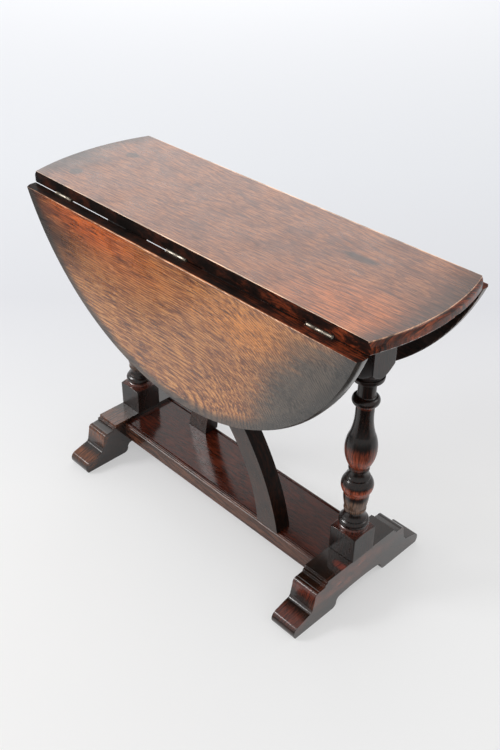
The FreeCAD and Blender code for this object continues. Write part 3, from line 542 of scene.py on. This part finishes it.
# The joints between board and leaves were never waxed: old stain, nearly black, is rubbed through
# to red wood in flecks towards the right end. The leaves' inner faces, under the table, are painted
# near black as shade, and a painted highlight runs along the front leaf's outer arris. The moulded
# ends are red brown and well polished, with a pale line painted along their upper arris as a highlight.
edge_oak = oak("stained_oak_edge_and_painted_light", turn=(0, 0, 0), heart=(0, 0, 480), ring=4.0, figure=0.1, cloudy=0.5,
               colours=("120a07", "30160e", "8c3e20"), gloss=0.5, coat=0.0, shine=0.12,
               patches=[((-330, 0, 499), (500, 9000, 9000), 0.25, "160d09", 0.85),
                        # Painted shade: the leaves' inner faces, below the joint, are made near black.
                        ((0, 0, 0), (9000, 9000, 488.6), 0.001, "1c100b", 0.92),
                        # Painted highlight: a pale line on the front leaf's joint edge beside its outer
                        # arris.
                        ((0, -125.2, 489.8), (318, 1.6, 1.2), 0.3, "d98a5c", 0.8)])
rim_oak = oak("rubbed_oak_rim", turn=(0, 0, 90), heart=(0, 0, 480), ring=4.0, cloudy=0.5,
              colours=("200e08", "5a2814", "a04c28"), gloss=0.2, coat=0.2, shine=0.22,
              # Painted highlight: a pale line along the moulded end's upper arris.
              patches=[((0, 0, 508), (9000, 9000, 1.5), 0.3, "e8b898", 0.85)])
board = dress("top_board", top_oak, arris=0.5)
refinish(board, edge_oak, lambda centre, normal: abs(normal.y) > 0.7 or normal.z < -0.7)
refinish(board, rim_oak, lambda centre, normal: centre.length > 560 and abs(normal.x) > 0.5)

# Leaves
# Two half-moon leaves of the same oak hang on three hinges each. The front one is orange where
# hands and dusters reach it and nearly black round its rim, where old stain was never rubbed off.

# Waxed oak like the top's, but sawn so that its rings run as wide arches. The patches are three
# orange places, two dark ones at the left end, the grey old stain at the right, the dark rim all
# round, and a painted highlight along the rubbed arris at each joint.
leaf_oak = oak("waxed_oak_leaf", turn=(90, 0, 0), heart=(62, -278, -155), ring=7.5, crowd=0.003,
               lean=0.75, bend=0, figure=0.5, cloudy=0.18, fleck=4.5, gloss=0.28, coat=0.45, shine=0.5,
               colours=("572f1e", "955930", "cb8c50"),
               patches=[((-150, -125, 462), (150, 60, 50), 0.7, "a04e1c", 0.5),
                        ((150, -125, 450), (80, 60, 30), 0.8, "b8702c", 0.6),
                        ((-190, -125, 476), (100, 60, 25), 0.8, "ac4c12", 0.8),
                        ((-318, -125, 482), (50, 60, 40), 0.8, "2c120a", 0.9),
                        ((-280, -125, 432), (80, 60, 32), 1.0, "26130e", 0.9),
                        ((360, -125, 300), (207, 60, 218), 0.18, "3a3833", 0.94),
                        ((0, 0, 597), (-321, -9000, -321), 0.03, "2e2a26", 0.9),
                        # Painted highlight, partly rubbed pale wood: a light line along the arris at each
                        # joint.
                        ((0, -125.2, 489.8), (318, 2.0, 2.0), 0.2, "eec0a0", 0.85),
                        ((0, 125.2, 489.8), (318, 2.0, 2.0), 0.2, "eec0a0", 0.85)])
for name, side in (("front", -1), ("back", 1)):
    leaf = dress(f"{name}_leaf", leaf_oak, arris=0.5)
    refinish(leaf, edge_oak, lambda centre, normal: normal.z > 0.7 or normal.y * side < -0.7)

# Hinges
# Steel butt hinges, three to a leaf, let in flush under the wood with their knuckles in the joint.
# They were never polished: the knuckles are rubbed bright and the plates are brown with age.

# Rubbed steel: warmer and duller than the screws.
hinge_steel = steel("rubbed_steel_hinge", "8c857a", 0.42, "4e463e")
for side in ("front", "back"):
    for number in (1, 2, 3):
        dress(f"{side}_board_plate_{number}", hinge_steel, arris=0)
        dress(f"{side}_leaf_plate_{number}", hinge_steel, arris=0)
        dress(f"{side}_hinge_pin_{number}", hinge_steel, arris=0)
    dress(f"{side}_board_screws", screw_steel, arris=0)
    dress(f"{side}_leaf_screws", screw_steel, arris=0)

# Studio
# A pale paper sweep under soft, even light: a window-like panel behind the table's left end, one
# at the front left, two that show in gloss alone for the highlights on rolls, arrises and moulded
# ends, and white surroundings. Lengths are in metres. Nothing of it belongs to the table.

floor_half = 30.0
floor_mesh = bpy.data.meshes.new("paper_floor")
floor_mesh.from_pydata([(-floor_half, -floor_half, 0), (floor_half, -floor_half, 0),
                        (floor_half, floor_half, 0), (-floor_half, floor_half, 0)], [], [(0, 1, 2, 3)])
floor = new_object("paper_floor", floor_mesh)

# Matt white paper, a shade greyer behind the table, as a sweep is where less light falls on it.
paper, tree = new_material("white_paper_sweep")
nearest, furthest = -1.0, 4.0
behind = add_node(tree, "VectorMath", {0: add_node(tree, "NewGeometry").outputs["Position"],
                                       1: (-0.5 ** 0.5, 0.5 ** 0.5, 0)}, operation="DOT_PRODUCT")
depth = add_node(tree, "MapRange", {"Value": behind.outputs["Value"], "From Min": nearest,
                                    "From Max": furthest})
tone = add_node(tree, "ValToRGB", {"Fac": depth.outputs[0]})
stops = tone.color_ramp.elements
stops[0].position, stops[0].color = 0.0, linear("f4f4f4")
stops[1].position, stops[1].color = 1.0, linear("fbfcff")
for distance, shade in ((0.0, "f7f7f7"), (0.65, "e4e5e9"), (1.4, "ebedf1")):
    stops.new((distance - nearest) / (furthest - nearest)).color = linear(shade)
matt = add_node(tree, "BsdfDiffuse", {"Color": tone.outputs["Color"]})
glow = add_node(tree, "Emission", {"Color": tone.outputs["Color"]})
path = add_node(tree, "LightPath")
seen = add_node(tree, "Math", {0: path.outputs["Is Camera Ray"], 1: path.outputs["Is Glossy Ray"]},
                operation="MAXIMUM")
seen = add_node(tree, "Math", {0: seen.outputs[0], 1: path.outputs["Is Transmission Ray"]},
                operation="MAXIMUM")
# Seen directly or in the polish, nearly half of the paper is its own plain tone, with no shade on it.
own_glow = 0.45
half_seen = add_node(tree, "Math", {0: seen.outputs[0], 1: own_glow}, operation="MULTIPLY")
sweep = add_node(tree, "MixShader", {0: half_seen.outputs[0], 1: matt.outputs[0], 2: glow.outputs[0]})
add_node(tree, "OutputMaterial", {"Surface": sweep.outputs[0]})
floor_mesh.materials.append(paper)

world = bpy.data.worlds.new("white_surroundings")
bpy.context.scene.world = world
world.use_nodes = True
background = world.node_tree.nodes["Background"]
background.inputs["Color"].default_value = (1, 1, 1, 1)
background.inputs["Strength"].default_value = 0.75


def soft_panel(name, place, target, size, power):
    """A square studio panel that faces its target, with its power in watts."""
    light = bpy.data.lights.new(name, "AREA")
    light.shape = "SQUARE"
    light.size = size
    light.energy = power
    panel = new_object(name, light)
    panel.location = place
    panel.visible_camera = False
    panel.rotation_euler = (Vector(target) - Vector(place)).to_track_quat("-Z", "Y").to_euler()
    return panel


soft_panel("back_panel", (-3.0, 2.6, 1.9), (0, 0, 0.4), 3.0, 23)
soft_panel("front_left_panel", (-2.0, -2.0, 2.25), (0, 0, 0.3), 1.0, 40)
gloss_panel = soft_panel("front_left_gloss", (-2.0, -2.0, 2.3), (0, 0, 0.3), 1.2, 100)
gloss_panel.visible_diffuse = False
soft_panel("back_right_gloss", (2.0, 2.0, 2.3), (0, 0, 0.3), 1.4, 14).visible_diffuse = False

# Five pieces are kept out of the front left gloss light, as with flags on stands. On the board and
# the leaves it would burn a white window, seen from the other side, and on the left foot and the
# shelf's bead a hard white line.
shaded = ("top_board", "front_leaf", "back_leaf", "left_foot", "shelf")
lit = bpy.data.collections.new("lit_by_front_left_gloss")
for piece in bpy.context.scene.objects:
    if piece.type == "MESH" and piece.name not in shaded:
        lit.objects.link(piece)
gloss_panel.light_linking.receiver_collection = lit

# Two black felt cards on the floor, which the feet, the leg and the leaf mirror as dark lines.
card_height = 0.01
black = bpy.data.materials.new("black_felt")
black.use_nodes = True
black.node_tree.nodes["Principled BSDF"].inputs["Base Color"].default_value = linear("0a0a0a")


def black_card(name, corners):
    """A black card on the floor that only shows as a dark reflection in the polish."""
    mesh = bpy.data.meshes.new(name)
    mesh.from_pydata([(x, y, card_height) for x, y in corners], [], [tuple(range(len(corners)))])
    mesh.materials.append(black)
    card = new_object(name, mesh)
    card.visible_camera = False
    card.visible_diffuse = False
    card.visible_shadow = False


card_near, card_far = 0.15, 2.5
card_turns = [math.radians(angle) for angle in range(-105, 16, 10)]
card_edge = [(card_near, turn) for turn in card_turns] + [(card_far, turn) for turn in reversed(card_turns)]
black_card("near_leg_card", [(reach * math.cos(turn) + leg_place * MM, reach * math.sin(turn))
                             for reach, turn in card_edge])
black_card("leaf_card", [(-2.0, -2.0), (-0.48, -2.0), (-0.48, -0.44), (-2.0, -0.44)])

# The camera stands and looks as the photograph's does, by a fit to the table's edges in it.
view = bpy.data.cameras.new("photograph_view")
view.lens = 66.3
view.sensor_width = 36
view.sensor_fit = "HORIZONTAL"
camera = new_object("photograph_view", view)
camera_place = Vector((0.8183, -0.7815, 1.0439))
yaw, pitch, roll = math.radians(135.285), math.radians(35.003), math.radians(0.789)
ahead = Vector((math.cos(pitch) * math.cos(yaw), math.cos(pitch) * math.sin(yaw), -math.sin(pitch)))
level_right = ahead.cross(Vector((0, 0, 1))).normalized()
level_up = level_right.cross(ahead)
right = math.cos(roll) * level_right + math.sin(roll) * level_up
up = -math.sin(roll) * level_right + math.cos(roll) * level_up
matrix = Matrix((right, up, -ahead)).transposed().to_4x4()
matrix.translation = camera_place
camera.matrix_world = matrix
bpy.context.scene.camera = camera
bpy.context.scene.view_settings.view_transform = "Standard"
